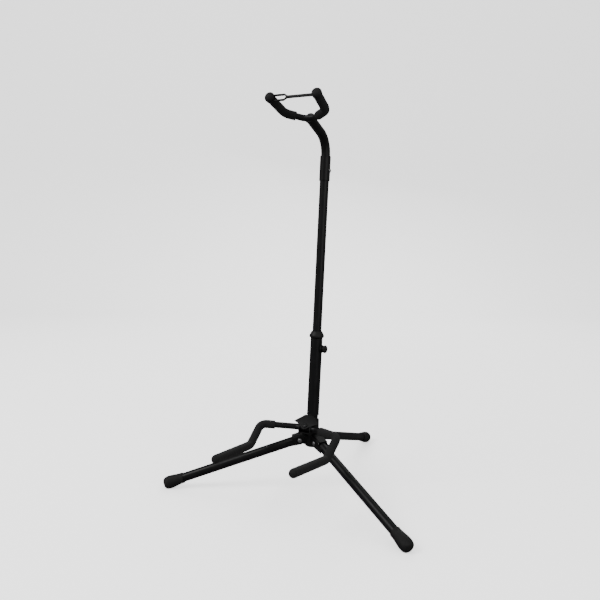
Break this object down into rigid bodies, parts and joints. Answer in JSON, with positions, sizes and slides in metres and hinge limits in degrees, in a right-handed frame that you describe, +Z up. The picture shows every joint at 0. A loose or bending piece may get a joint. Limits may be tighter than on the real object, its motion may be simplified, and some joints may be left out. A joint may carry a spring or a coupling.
{
  "type": "guitar stand",
  "caption": "Folding tripod guitar stand with a telescoping column that leans back, a foam-covered body cradle on a hinge, and a padded neck yoke closed by a rubber strap",
  "frame": {"origin": "on the floor, at the middle of the stand's footprint", "axes": "+Z up; -Y is the front, where the instrument stands; +X is the side of the clamp knob"},
  "size_m": [0.5558, 0.5588, 0.812],
  "materials": {
    "black_paint": "semi-gloss black powder coat on steel tube",
    "black_sheet": "satin black powder coat on pressed steel sheet",
    "zinc_steel": "zinc-plated",
    "black_nylon": "fine moulded texture",
    "black_rubber": "matt",
    "black_foam": "matt closed-cell foam"
  },
  "bodies": {
    "base": {"leg_hub": "black_sheet", "base_stem": "black_paint", "stem_plug": "black_nylon", "leg_rivet_left": "zinc_steel", "leg_rivet_right": "zinc_steel", "leg_rivet_rear": "zinc_steel", "cradle_bracket": "black_sheet", "cradle_lock_screw": "zinc_steel", "lower_tube": "black_paint", "height_collar": "black_nylon", "clamp_boss": "black_sheet"},
    "left_leg": {"leg_tube_left": "black_paint", "leg_channel_left": "black_sheet", "leg_foot_left": "black_rubber"},
    "right_leg": {"leg_tube_right": "black_paint", "leg_channel_right": "black_sheet", "leg_foot_right": "black_rubber"},
    "rear_leg": {"leg_tube_rear": "black_paint", "leg_channel_rear": "black_sheet", "leg_foot_rear": "black_rubber"},
    "cradle": {"cradle_rod": "black_paint", "cradle_sleeve_left": "black_foam", "cradle_sleeve_right": "black_foam"},
    "knob": {"clamp_knob": "black_nylon", "clamp_stud": "zinc_steel"},
    "slide": {"slide_bush": "black_nylon"},
    "mast": {"upper_tube": "black_paint", "neck_coupler": "black_paint", "coupler_screw": "zinc_steel", "gooseneck_tube": "black_paint", "yoke_rod": "black_paint", "yoke_sleeve_left": "black_foam", "yoke_sleeve_right": "black_foam", "yoke_cap_left": "black_rubber", "yoke_cap_right": "black_rubber", "neck_strap": "black_rubber"}
  },
  "joints": [
    {"name": "left_leg_fold", "type": "hinge", "parent": "base", "child": "left_leg", "pos_m": [-0.02252, -0.05119, 0.10723], "axis": [0.5, -0.866, 0], "range_deg": [0, 69]},
    {"name": "right_leg_fold", "type": "hinge", "parent": "base", "child": "right_leg", "pos_m": [0.02252, -0.05119, 0.10723], "axis": [0.5, 0.866, 0], "range_deg": [0, 69]},
    {"name": "rear_leg_fold", "type": "hinge", "parent": "base", "child": "rear_leg", "pos_m": [0, -0.01218, 0.10723], "axis": [-1, 0, 0], "range_deg": [0, 69]},
    {"name": "cradle_fold", "type": "hinge", "parent": "base", "child": "cradle", "pos_m": [0, -0.06519, 0.13863], "axis": [-1, 0, 0], "range_deg": [0, 82]},
    {"name": "height_slide", "type": "slide", "parent": "base", "child": "slide", "axis": [0, 0.0889, 0.996], "range_m": [-0.06, 0.022]},
    {"name": "mast_turn", "type": "hinge", "parent": "slide", "child": "mast", "pos_m": [0, -0.01152, 0.41494], "axis": [0, 0.0889, 0.996], "continuous": true},
    {"name": "knob_turn", "type": "hinge", "parent": "base", "child": "knob", "pos_m": [0.016, -0.02165, 0.3014], "axis": [1, 0, 0], "range_deg": [0, 720]}
  ]
}
